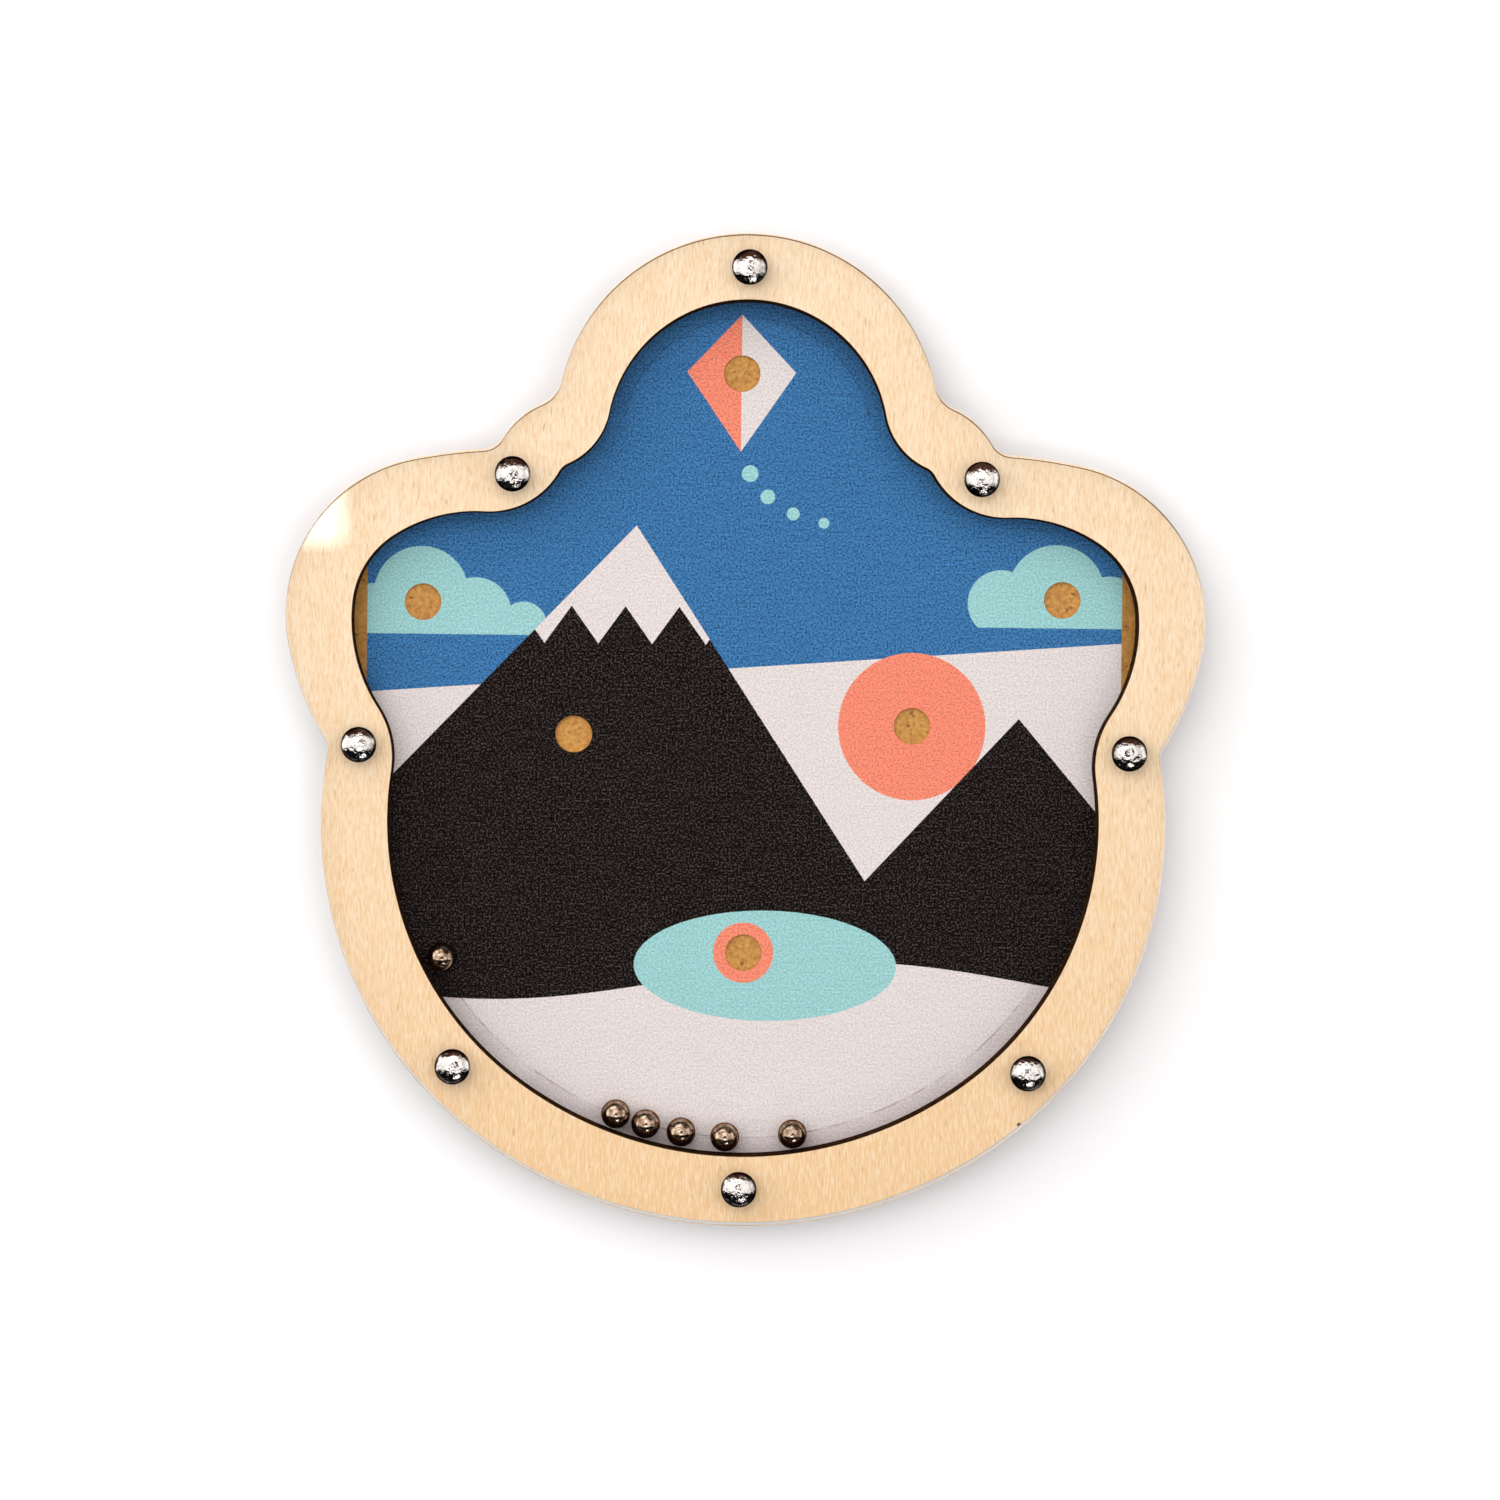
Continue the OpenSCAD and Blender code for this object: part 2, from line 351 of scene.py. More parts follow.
picture, where, out = new_group("mountain_picture", {"Ink": "Color", "Bare": "Float"})
spot = stretch(picture, where, (1 / MM, 1 / MM, 0))
rough_edge = cloudy(picture, where, (2500, 2500, 0), 1.0)
spot = calc_vector(picture, "ADD", spot, stretch(picture, rough_edge, (0.1, 0.1, 0)))
across, up = split(picture, spot)[:2]

horizon = right_of(picture, spot, (60, 14), (-60, 5))
ink = print_ink(picture, PALE_INK, horizon, BLUE_INK)
for puffs, base in ((LEFT_PUFFS, 14.2), (RIGHT_PUFFS, 16.2)):
    ink = print_ink(picture, ink, cloud(picture, spot, puffs, base), TEAL_INK)
print("sky and clouds:", len(picture.nodes), "nodes")

# %% Kite and tail
KITE_TOP = (-0.9, 64.6)
KITE_LEFT = (-9.4, 55.6)
KITE_RIGHT = (7.6, 55.6)
KITE_FOOT = (-0.9, 43.2)
TAIL = ((0.6, 39.8), (3.4, 36.2), (7.4, 33.6), (12.2, 32.2))
left_half = polygon(picture, spot, KITE_LEFT, KITE_TOP, KITE_FOOT)
right_half = polygon(picture, spot, KITE_FOOT, KITE_TOP, KITE_RIGHT)
ink = print_ink(picture, ink, left_half, CORAL_INK)
ink = print_ink(picture, ink, right_half, PALE_INK)
for step, (x, y) in enumerate(TAIL):
    ink = print_ink(picture, ink, disc(picture, spot, x, y, 1.3 - 0.15 * step), TEAL_INK)
print("kite height in mm:", round(KITE_TOP[1] - KITE_FOOT[1], 1), "tail dots:", len(TAIL))

# %% Sun and mountains
SUN = (26.3, 0.6, 11.5)
SNOW_LINE = 13.0
TOOTH_WIDTH = 4.2
TOOTH_SLOPE = 1.4
TOOTH_SHIFT = 90.0
ink = print_ink(picture, ink, disc(picture, spot, *SUN), CORAL_INK)
far_peak = peak(picture, spot, (4.0, -40.0), (43.0, 2.0), (70.0, -30.0))
ink = print_ink(picture, ink, far_peak, DARK_INK)
near_peak = peak(picture, spot, (-76.0, -30.0), (-17.0, 31.5), (30.0, -40.0))
ink = print_ink(picture, ink, near_peak, DARK_INK)
teeth = calc(picture, "PINGPONG", calc(picture, "ADD", across, TOOTH_SHIFT), TOOTH_WIDTH)
snow_edge = calc(picture, "MULTIPLY_ADD", teeth, TOOTH_SLOPE, SNOW_LINE)
snowcap = both(picture, near_peak, calc(picture, "SUBTRACT", snow_edge, up))
ink = print_ink(picture, ink, snowcap, PALE_INK)
print("mountains:", len(picture.nodes), "nodes")

# %% Snowfield and lake
SHORE = -39.5
SWELL = 3.2
LAKE_SQUASH = (0.42, 1.0, 0)
LAKE = (1.6, -37.0, 8.6)
BUOY = (0.4, -35.0, 4.7)
MARGIN = 58.9
wave = calc(picture, "SINE", calc(picture, "MULTIPLY_ADD", across, 0.055, 0.6))
drift = calc(picture, "SUBTRACT", up, calc(picture, "MULTIPLY_ADD", wave, SWELL, SHORE))
ink = print_ink(picture, ink, drift, PALE_INK)
flat_spot = stretch(picture, spot, LAKE_SQUASH)
ink = print_ink(picture, ink, disc(picture, flat_spot, *LAKE), TEAL_INK)
ink = print_ink(picture, ink, disc(picture, spot, *BUOY), CORAL_INK)
plug(picture, ink, out["Ink"])
sideways = calc(picture, "ABSOLUTE", across)
plug(picture, fade(picture, sideways, MARGIN - INK_BLUR, MARGIN + INK_BLUR), out["Bare"])
print("picture:", len(picture.nodes), "nodes")

# %% [markdown]
# ## The balls' track
# Balls roll along the wall, one radius away from it. Over time they rub a thin grey line there, and the
# strip between that line and the wall is made a little greyer. The line follows the arcs of the wall, so its
# distance comes from the arcs' own middles: the wide bowl, the flanks and the crown. The puzzle is the same
# on both sides, so one side is enough when the sideways distance loses its sign.

# %% Ball track
TRACK_GAP = 2.35
SECTOR_FADE = 0.03
# Each arc: its middle, its radius, the heading of its middle and half its width in degrees.
WALL_ARCS = (
    ((0, -8.05), 58.2, -90.0, 37.0),
    ((4.754, -14.359), 50.3, -38.0, 15.0),
    ((0, 44.65), 21.8, 90.0, 79.0),
)
ball_track, where, out = new_group("ball_track", {"Line": "Float", "WallStrip": "Float"})
spot = calc_vector(ball_track, "ABSOLUTE", stretch(ball_track, where, (1 / MM, 0, 0)))
spot = calc_vector(ball_track, "ADD", spot, stretch(ball_track, where, (0, 1 / MM, 0)))
line = wall_strip = 0.0
for (x, y), radius, heading, half_width in WALL_ARCS:
    reach = calc_vector(ball_track, "SUBTRACT", spot, (x, y, 0))
    aim = (math.cos(math.radians(heading)), math.sin(math.radians(heading)), 0)
    facing = calc_vector(ball_track, "DOT_PRODUCT", calc_vector(ball_track, "NORMALIZE", reach), aim)
    edge = math.cos(math.radians(half_width))
    sector = fade(ball_track, facing, edge, edge + SECTOR_FADE)
    inset = calc(ball_track, "SUBTRACT", radius - TRACK_GAP, calc_vector(ball_track, "LENGTH", reach))
    rub = fade(ball_track, calc(ball_track, "ABSOLUTE", inset), 0.16, 0.04)
    line = calc(ball_track, "MAXIMUM", line, calc(ball_track, "MULTIPLY", rub, sector))
    strip = fade(ball_track, inset, 0.1, -0.1)
    wall_strip = calc(ball_track, "MAXIMUM", wall_strip, calc(ball_track, "MULTIPLY", strip, sector))
breaks = fade(ball_track, cloudy(ball_track, where, (260, 260, 0), 3.0, 0.6), 0.38, 0.6)
plug(ball_track, calc(ball_track, "MULTIPLY", line, breaks), out["Line"])
plug(ball_track, wall_strip, out["WallStrip"])
print("ball track on", len(WALL_ARCS), "arcs")

# %% [markdown]
# ## Printed board
# Flatbed printing lays down the ink in fine drops and leaves faint sideways passes, so an ink is never
# one flat tone but a fine grit. It is strong on dark ink and weak on pale ink, so its depth follows
# a power of the ink's own brightness. The board's tooth stays as a faint relief, the balls' track lies
# over the ink, and at the far left and right a strip of board is left bare. The ink is nearly matt.

# %% Printed board
GRIT_POWER = -0.82
GRIT_DEPTH = 0.076
DARKEST_GRIT = 0.1
printed_board, tree, shader, place = new_finish("printed_board", Specular_IOR_Level=0.04)
fibres = use_group(tree, board_fibre, place)
inks = use_group(tree, picture, place)
track = use_group(tree, ball_track, place)
passes = cloudy(tree, place, (160, 3300, 0), 2.0, 0.6)
grit = cloudy(tree, place, (3300, 3300, 0), 1.0, 0.4)
brightness = tree.nodes.new("ShaderNodeRGBToBW")
plug(tree, inks["Ink"], brightness.inputs[0])
depth = calc(tree, "MULTIPLY", calc(tree, "POWER", brightness.outputs[0], GRIT_POWER), GRIT_DEPTH)
grit = fade(tree, grit, 0.3, 0.7, -1.6, 1.6)
grit = calc(tree, "ADD", grit, fade(tree, passes, 0.3, 0.7, -0.3, 0.3))
speckle = calc(tree, "MAXIMUM", calc(tree, "MULTIPLY_ADD", grit, depth, 1.0), DARKEST_GRIT)
colour = calc_vector(tree, "SCALE", inks["Ink"])
plug(tree, speckle, colour.node.inputs["Scale"])
# Greyer in the strip between the track line and the wall.
colour = tint(tree, calc(tree, "MULTIPLY", track["WallStrip"], 0.3), colour, srgb(214, 206, 210), "MULTIPLY")
colour = tint(tree, calc(tree, "MULTIPLY", track["Line"], 0.8), colour, srgb(176, 160, 152), "MULTIPLY")
brown = tint(tree, fade(tree, fibres["Mottle"], 0.3, 0.7), srgb(168, 116, 56), srgb(206, 154, 84))
brown = tint(tree, calc(tree, "MULTIPLY", fibres["Flecks"], 0.7), brown, BARK)
plug(tree, tint(tree, inks["Bare"], colour, brown), shader.inputs["Base Color"])
plug(tree, fade(tree, fibres["Tooth"], 0.3, 0.7, 0.5, 0.72), shader.inputs["Roughness"])
relief(tree, shader, fibres["Tooth"], 0.02 * MM, 0.7)
print("printed_board nodes:", len(tree.nodes))

# %% [markdown]
# ## Birch plywood
# The rail is laser-cut from birch ply. Its face veneer is pale honey with short, fine, upright fibres,
# wide soft bands, a few pores and a deeper tone towards the foot. The laser left a small burn on the rim
# where it first went through the sheet. Long noise, squeezed across the grain, gives fibres. They are
# wanted on the face and faintly on the cut edge, so they are a group too.

# %% Birch fibres
birch_fibre, where, out = new_group("birch_fibre", {"Fibre": "Float", "Band": "Float", "Pores": "Float"})
sway = cloudy(birch_fibre, where, (30, 45, 30), 1.0)
swaying = calc_vector(birch_fibre, "ADD", where, stretch(birch_fibre, sway, (0.5 * MM, 0, 0)))
plug(birch_fibre, cloudy(birch_fibre, swaying, (5400, 700, 1200)), out["Fibre"])
plug(birch_fibre, cloudy(birch_fibre, swaying, (220, 24, 200), 1.0), out["Band"])
pores = cloudy(birch_fibre, swaying, (2600, 420, 900), 1.0, 0.4)
plug(birch_fibre, fade(birch_fibre, pores, 0.7, 0.78), out["Pores"])
print("birch_fibre nodes:", len(birch_fibre.nodes))

# %% Birch face
PIERCE = (43.3, -60.8)
DEEPENS_FROM = 15 * MM
DEEPEST_AT = -75 * MM
birch_face, tree, shader, place = new_finish("birch_face")
grain = use_group(tree, birch_fibre, place)
honey = tint(tree, fade(tree, grain["Band"], 0.3, 0.7), srgb(254, 227, 193), srgb(251, 219, 180))
# A deeper honey towards the foot of the rail.
towards_foot = fade(tree, split(tree, place)[1], DEEPENS_FROM, DEEPEST_AT)
honey = tint(tree, towards_foot, honey, srgb(248, 206, 156))
honey = tint(tree, fade(tree, grain["Fibre"], 0.45, 0.75, 0.0, 0.7), honey, srgb(236, 190, 136))
honey = tint(tree, fade(tree, grain["Fibre"], 0.5, 0.25, 0.0, 0.7), honey, srgb(255, 236, 210))
honey = tint(tree, calc(tree, "MULTIPLY", grain["Pores"], 0.45), honey, srgb(186, 130, 78))
pierced = calc_vector(tree, "DISTANCE", stretch(tree, place, (1 / MM, 1 / MM, 0)), (*PIERCE, 0))
honey = tint(tree, fade(tree, pierced, 0.4, 0.25), honey, srgb(92, 60, 38))
plug(tree, honey, shader.inputs["Base Color"])
plug(tree, fade(tree, grain["Fibre"], 0.3, 0.7, 0.48, 0.64), shader.inputs["Roughness"])
relief(tree, shader, grain["Fibre"], 0.01 * MM, 0.5)
print("finish:", birch_face.name)

# %% [markdown]
# The cut edges are scorched almost black, and the plies lie one above the other. Every second ply shows
# its end grain, which burns darker. A sawtooth over the height tells which ply a point is in.

# %% Scorched edge
PLIES = 5
scorched_ply, tree, shader, place = new_finish("scorched_ply", Specular_IOR_Level=0.0)
grain = use_group(tree, birch_fibre, place)
bottom, top = (corner.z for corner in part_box("rail"))
layer = fade(tree, split(tree, place)[2], bottom, top, 0.0, PLIES / 2)
end_grain = fade(tree, calc(tree, "FRACT", layer), 0.46, 0.54)
burn = cloudy(tree, place, (1500, 1500, 110), 2.0, 0.6)
edge = tint(tree, end_grain, srgb(62, 37, 20), srgb(36, 20, 11))
edge = tint(tree, fade(tree, burn, 0.35, 0.75, 0.0, 0.7), edge, srgb(20, 11, 6))
edge = tint(tree, fade(tree, grain["Fibre"], 0.5, 0.85, 0.0, 0.25), edge, srgb(150, 104, 60))
plug(tree, edge, shader.inputs["Base Color"])
plug(tree, fade(tree, burn, 0.3, 0.7, 0.6, 0.8), shader.inputs["Roughness"])
relief(tree, shader, burn, 0.06 * MM)
print("plies in the rail:", PLIES)

# %% [markdown]
# ## Wear on hard, shiny pieces
# Steel, nickel and acrylic all pick up hairline scratches, smears and small pits. Scratches are long
# noise at two slants, thinned until only hairs are left. Each finish below takes what it needs.

# %% Fine wear
SLANTS = (0.5, -0.9)
fine_wear, where, out = new_group("fine_wear", {"Hairs": "Float", "Smears": "Float", "Pits": "Float"})
hairs = 0.0
for slant in SLANTS:
    turned = fine_wear.nodes.new("ShaderNodeVectorRotate")
    turned.rotation_type = "Z_AXIS"
    turned.inputs["Angle"].default_value = slant
    plug(fine_wear, where, turned.inputs["Vector"])
    thread = cloudy(fine_wear, turned.outputs[0], (5200, 240, 2600), 1.0)
    hairs = calc(fine_wear, "MAXIMUM", hairs, fade(fine_wear, thread, 0.72, 0.8))
plug(fine_wear, hairs, out["Hairs"])
plug(fine_wear, cloudy(fine_wear, where, (420, 420, 420), 3.0), out["Smears"])
pits = cloudy(fine_wear, where, (2600, 2600, 2600), 1.0)
plug(fine_wear, fade(fine_wear, pits, 0.66, 0.74), out["Pits"])
print("fine_wear nodes:", len(fine_wear.nodes))

# %% [markdown]
# ## Nickel of the nails
# The heads are plated and bright, with smears and pits. Towards their edge a dark ring is painted into the
# plating's colour: a painted reflection of the shaded gap under the head, broken up by the smears. That
# painted ring can't follow the place in the puzzle, because every nail has a middle of its own. So it reads
# a number that each nail carries on its points. Blows too small to model are a fine relief.

# %% Nickel
nickel, tree, shader, place = new_finish("hammered_nickel", Metallic=1.0)
wear = use_group(tree, fine_wear, place)
plate = tint(tree, fade(tree, wear["Smears"], 0.35, 0.7), srgb(212, 206, 201), srgb(192, 185, 179))
plate = tint(tree, calc(tree, "MULTIPLY", wear["Pits"], 0.6), plate, srgb(96, 84, 74))
edge = tree.nodes.new("ShaderNodeAttribute")
edge.attribute_name = "head_edge"
# Painted reflection: the plating darkens to a ring near the head's edge, standing for the shaded gap the
# head mirrors.
painted_dark_rim = calc(tree, "ADD", edge.outputs["Fac"], fade(tree, wear["Smears"], 0.3, 0.7, -0.25, 0.25))
plate = tint(tree, fade(tree, painted_dark_rim, 0.3, 0.7), plate, srgb(36, 26, 20))
plug(tree, plate, shader.inputs["Base Color"])
dull = fade(tree, wear["Smears"], 0.3, 0.7, 0.02, 0.07)
dull = calc(tree, "ADD", dull, calc(tree, "MULTIPLY", wear["Hairs"], 0.15))
plug(tree, dull, shader.inputs["Roughness"])
blows = cloudy(tree, place, (2200, 2200, 2200), 2.0, 0.6)
relief(tree, shader, calc(tree, "MULTIPLY_ADD", wear["Pits"], 0.3, blows), 0.07 * MM, 0.8)
print("finish:", nickel.name)

# %% [markdown]
# ## Steel of the balls
# The balls have a warm brown skin, a little mottled, and tumbling has made their shine soft. Towards its rim
# a ball mirrors the shaded board and wall round it, and that shade is painted in as a deep brown. A metal's
# Specular Tint is its colour at a grazing angle, so that painted shade goes there.

# %% Steel
# Specular Tint holds painted shade: deep brown at grazing angles for the shaded board and wall that the rim
# mirrors.
steel, tree, shader, place = new_finish("rolled_steel", Metallic=1.0, Specular_Tint=srgb(84, 58, 40))
wear = use_group(tree, fine_wear, place)
patina = cloudy(tree, place, (1400, 1400, 1400))
skin = tint(tree, fade(tree, patina, 0.38, 0.66), srgb(136, 110, 90), srgb(200, 176, 154))
skin = tint(tree, calc(tree, "MULTIPLY", wear["Pits"], 0.35), skin, srgb(96, 84, 72))
plug(tree, skin, shader.inputs["Base Color"])
tumbled = cloudy(tree, place, (5000, 5000, 5000), 1.0)
plug(tree, fade(tree, tumbled, 0.35, 0.65, 0.07, 0.13), shader.inputs["Roughness"])
relief(tree, shader, wear["Hairs"], 0.001 * MM, 0.4)
print("finish:", steel.name)

# %% [markdown]
# ## Clear acrylic
# The window is a real sheet with two faces, so it gets true refraction and a mirror image of the lamps.
# Such glass would also throw a full shadow in the renderer, and the rail under it would turn dark. Real
# acrylic lets the light through, so shadow and bounce rays pass it as if it were nearly not there.

# %% Clear acrylic
ACRYLIC_IOR = 1.49


def let_light_through(tree, shader, share):
    clear = tree.nodes.new("ShaderNodeBsdfTransparent")
    clear.inputs["Color"].default_value = share
    ray = tree.nodes.new("ShaderNodeLightPath")
    passing = tree.nodes.new("ShaderNodeMixShader")
    straight = calc(tree, "MAXIMUM", ray.outputs["Is Shadow Ray"], ray.outputs["Is Diffuse Ray"])
    for value, socket in zip((straight, shader.outputs[0], clear.outputs[0]), passing.inputs):
        plug(tree, value, socket)
    plug(tree, passing.outputs[0], tree.nodes["Material Output"].inputs["Surface"])


acrylic, tree, shader, place = new_finish("clear_acrylic", IOR=ACRYLIC_IOR, Transmission_Weight=1.0)
wear = use_group(tree, fine_wear, place)
plug(tree, tint(tree, wear["Smears"], srgb(255, 255, 255), srgb(250, 253, 252)), shader.inputs["Base Color"])
haze = fade(tree, wear["Smears"], 0.4, 0.8, 0.004, 0.02)
plug(tree, calc(tree, "ADD", haze, calc(tree, "MULTIPLY", wear["Hairs"], 0.02)), shader.inputs["Roughness"])
relief(tree, shader, wear["Hairs"], 0.001 * MM, 0.3)
let_light_through(tree, shader, (0.97, 0.975, 0.975, 1.0))
print("finish:", acrylic.name)

# %% [markdown]
# Its cut edges are frosted: they pass less light and glow as a thin line round the sheet. On the far side
# they face away from most of the light, and that shade is painted in as brown. How far an edge is shaded
# that way is a number on the window's points.

# %% Cut acrylic
cut_acrylic, tree, shader, place = new_finish("cut_acrylic", IOR=ACRYLIC_IOR, Transmission_Weight=0.2)
wear = use_group(tree, fine_wear, place)
frost = tint(tree, wear["Smears"], srgb(250, 236, 224), srgb(232, 206, 184))
# Painted shade: far-side cut edges are tinted brown because they face away from the light.
painted_far_shade = tree.nodes.new("ShaderNodeAttribute")
painted_far_shade.attribute_name = "painted_far_shade"
far_shade_amount = fade(tree, painted_far_shade.outputs["Fac"], 0.1, 0.7)
plug(tree, tint(tree, far_shade_amount, frost, srgb(74, 42, 26)), shader.inputs["Base Color"])
plug(tree, fade(tree, wear["Smears"], 0.3, 0.7, 0.3, 0.5), shader.inputs["Roughness"])
let_light_through(tree, shader, (0.8, 0.8, 0.8, 1.0))
print("finish:", cut_acrylic.name)

# %% [markdown]
# ## Sheets with softened edges
# The three sheets have the right outlines already. A laser leaves a fine broken edge on them, which catches
# light and scorch. The CAD meshes must stay as they are. The CAD meshes are left as they are and hidden, so
# each sheet is a copy: its loose triangles are merged, flat regions joined, and every sharp edge gets a
# tiny chamfer.

# %% Chamfered copies
MERGE_GAP = 0.0005 * MM
FLAT_BEND = math.radians(0.3)
SHARP_BEND = math.radians(40)
SHADING_BEND = math.radians(25)


def chamfered_copy(node, chamfer):
    shape = bmesh.new()
    shape.from_mesh(frame["nodes"][node].data)
    bmesh.ops.remove_doubles(shape, verts=shape.verts, dist=MERGE_GAP)
    bmesh.ops.dissolve_limit(shape, angle_limit=FLAT_BEND, verts=shape.verts, edges=shape.edges)
    sharp = [e for e in shape.edges if e.is_manifold and e.calc_face_angle() > SHARP_BEND]
    bmesh.ops.bevel(
        shape, geom=sharp, offset=chamfer, offset_type="OFFSET", segments=1, profile=0.5,
        affect="EDGES", material=-1, clamp_overlap=True,
    )
    return shape


def place_piece(shape, name, body, node, finishes):
    mesh = bpy.data.meshes.new(name)
    for face in shape.faces:
        face.smooth = True
    shape.to_mesh(mesh)
    shape.free()
    mesh.set_sharp_from_angle(angle=SHADING_BEND)
    for finish in finishes:
        mesh.materials.append(finish)
    piece = bpy.data.objects.new(name, mesh)
    bpy.context.scene.collection.objects.link(piece)
    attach(piece, body)
    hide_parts(node)


print("sheet tools ready")

# %% [markdown]
# ## Back board
# Its front is printed, the pockets are milled through the ink into bare board, and the back is bare.
# The finish of a face follows from the way it looks, how high it is, and how near it is to a hole.

# %% Back board
CHAMFER = 0.06 * MM
LEVEL = 0.9
INK_DEPTH = 0.01 * MM
HOLE_DEPTH = 0.1 * MM
HOLE_REACH = 3.2 * MM
PRINTED, BARE, CUT = range(3)
board_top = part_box("panel")[1].z
shape = chamfered_copy("panel", CHAMFER)
facing_up = [face for face in shape.faces if face.normal.z > LEVEL]
middles = [face.calc_center_median() for face in facing_up]
hole_floors = [middle.xy for middle in middles if middle.z < board_top - HOLE_DEPTH]
for face in shape.faces:
    middle = face.calc_center_median()
    in_hole = any((middle.xy - floor).length < HOLE_REACH for floor in hole_floors)
    if face.normal.z > LEVEL and middle.z > board_top - INK_DEPTH:
        face.material_index = PRINTED
    elif in_hole or abs(face.normal.z) > LEVEL:
        face.material_index = BARE
    else:
        face.material_index = CUT
print("board faces:", len(shape.faces), "floors of pockets and nail holes:", len(hole_floors))
place_piece(shape, "printed_back_board", "case", "panel", (printed_board, bare_board, cut_board))

# %% [markdown]
# ## Rail
# Face veneer above and below, scorched plies on both walls. The chamfers round the play space are
# scorched too and show as a brown line, while the outer ones are clean and count as veneer.

# %% Rail
CHAMFER_TILT = 0.3
VENEER, PLY_EDGE = range(2)
shape = chamfered_copy("rail", CHAMFER)
for face in shape.faces:
    looks_out = face.normal.xy.dot(face.calc_center_median().xy) > 0
    clean = abs(face.normal.z) > (CHAMFER_TILT if looks_out else LEVEL)
    face.material_index = VENEER if clean else PLY_EDGE
print("rail faces:", len(shape.faces))
place_piece(shape, "plywood_rail", "case", "rail", (birch_face, scorched_ply))

# %% [markdown]
# ## Window
# The sheet lies on the rail. Two faces in exactly one plane confuse a ray that leaves the acrylic, so its
# underside is lifted by a hair, as real sheets touch only in places. The number for the painted shade on the
# far edges is how far a point's outward direction leans to the far side.

# %% Window
HAIR = 0.03 * MM
CLEAR, FROSTED = range(2)
shape = chamfered_copy("window", CHAMFER)
window_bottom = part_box("window")[0].z
low = [v for v in shape.verts if v.co.z < window_bottom + HAIR]
bmesh.ops.translate(shape, verts=low, vec=(0, 0, HAIR))
for face in shape.faces:
    face.material_index = CLEAR if abs(face.normal.z) > LEVEL else FROSTED
# How far each point leans to the far side, where the cut edge gets painted shade.
painted_far_shade = shape.verts.layers.float.new("painted_far_shade")
shape.normal_update()
for vert in shape.verts:
    vert[painted_far_shade] = max(0.0, vert.normal.xy.normalized().y)
print("window faces:", len(shape.faces), "lifted points:", len(low))
place_piece(shape, "acrylic_window", "case", "window", (acrylic, cut_acrylic))

# %% [markdown]
# ## Nails
# Eight dome-headed nails hold the sheets. A hammer left flats and pits on each crown, and that is what makes
# their mirror images break up. A nail is turned, so one point swept over the crown draws the dome, a few
# extrusions go down the shank to the tip, and a full spin makes it round. The dents are then pressed in,
# different on each nail but the same on every run. A number on every point says how near it is to the head's
# edge, and the finish reads it to paint a dark ring there, a painted reflection of the shaded gap under the
# head.

# %% Turn a nail
HEAD_EDGE = 0.3 * MM
HEAD_CHAMFER = 0.08 * MM
SHANK_RADIUS = 0.8 * MM
TIP_RADIUS = 0.15 * MM
POINT_LENGTH = 1.1 * MM
CROWN_STEPS = 36
ROUND_STEPS = 120
POLE_GAP = 0.002 * MM


def turned_nail(node):
    low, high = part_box(node)
    axis = Vector(((low.x + high.x) / 2, (low.y + high.y) / 2, 0))
    head_radius = (high.x - low.x) / 2
    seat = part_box("window")[1].z
    rise = high.z - seat - HEAD_EDGE
    crown_radius = (head_radius**2 + rise**2) / (2 * rise)
    shape = bmesh.new()
    first = shape.verts.new(axis + Vector((0, 0, high.z)))
    swept = bmesh.ops.spin(
        shape, geom=[first], cent=axis + Vector((0, 0, high.z - crown_radius)), axis=(0, 1, 0),
        angle=math.asin(head_radius / crown_radius), steps=CROWN_STEPS, use_merge=False,
    )
    last = next(item for item in swept["geom_last"] if isinstance(item, bmesh.types.BMVert))
    for radius, height in (
        (head_radius, seat + HEAD_CHAMFER),
        (head_radius - HEAD_CHAMFER, seat),
        (SHANK_RADIUS, seat),
        (SHANK_RADIUS, low.z + POINT_LENGTH),
        (TIP_RADIUS, low.z),
        (0.0, low.z),
    ):
        last = bmesh.ops.extrude_vert_indiv(shape, verts=[last])["verts"][0]
        last.co = axis + Vector((radius, 0, height))
    bmesh.ops.spin(
        shape, geom=shape.verts[:] + shape.edges[:], cent=axis, axis=(0, 0, 1),
        angle=math.tau, steps=ROUND_STEPS, use_merge=True,
    )
    bmesh.ops.remove_doubles(shape, verts=shape.verts, dist=POLE_GAP)
    bmesh.ops.recalc_face_normals(shape, faces=shape.faces)
    head_edge = shape.verts.layers.float.new("head_edge")
    for vert in shape.verts:
        vert[head_edge] = ((vert.co.xy - axis.xy).length / head_radius) ** 5
    return shape, axis, seat


print("nail tools ready")

# %% Hammer the heads
# Each kind of dent: radius, depth and spread over the head in millimetres, and how many there are.
DENTS = ((0.9, 0.045, 1.2, 3), (0.42, 0.024, 1.7, 12), (0.24, 0.01, 2.3, 36))
nail_count = sum(node.startswith("nail_") for node in frame["nodes"])


def press(shape, spot, radius, depth, above):
    for vert in shape.verts:
        reach = (vert.co.xy - spot).length / radius
        if vert.co.z > above and reach < 1:
            vert.co.z -= depth * (1 - reach * reach) ** 2


for number in range(1, nail_count + 1):
    node = f"nail_{number}"
    shape, axis, seat = turned_nail(node)
    blows = random.Random(number)
    for radius, depth, spread, count in DENTS:
        for blow in range(count):
            turn = blows.uniform(0, math.tau)
            away = spread * MM * math.sqrt(blows.random())
            spot = axis.xy + Vector((math.cos(turn), math.sin(turn))) * away
            size = blows.uniform(0.75, 1.2)
            press(shape, spot, radius * size * MM, depth * size * MM, seat + HEAD_EDGE)
    place_piece(shape, f"hammered_nail_{number}", "case", node, (nickel,))
print("nails hammered:", nail_count)

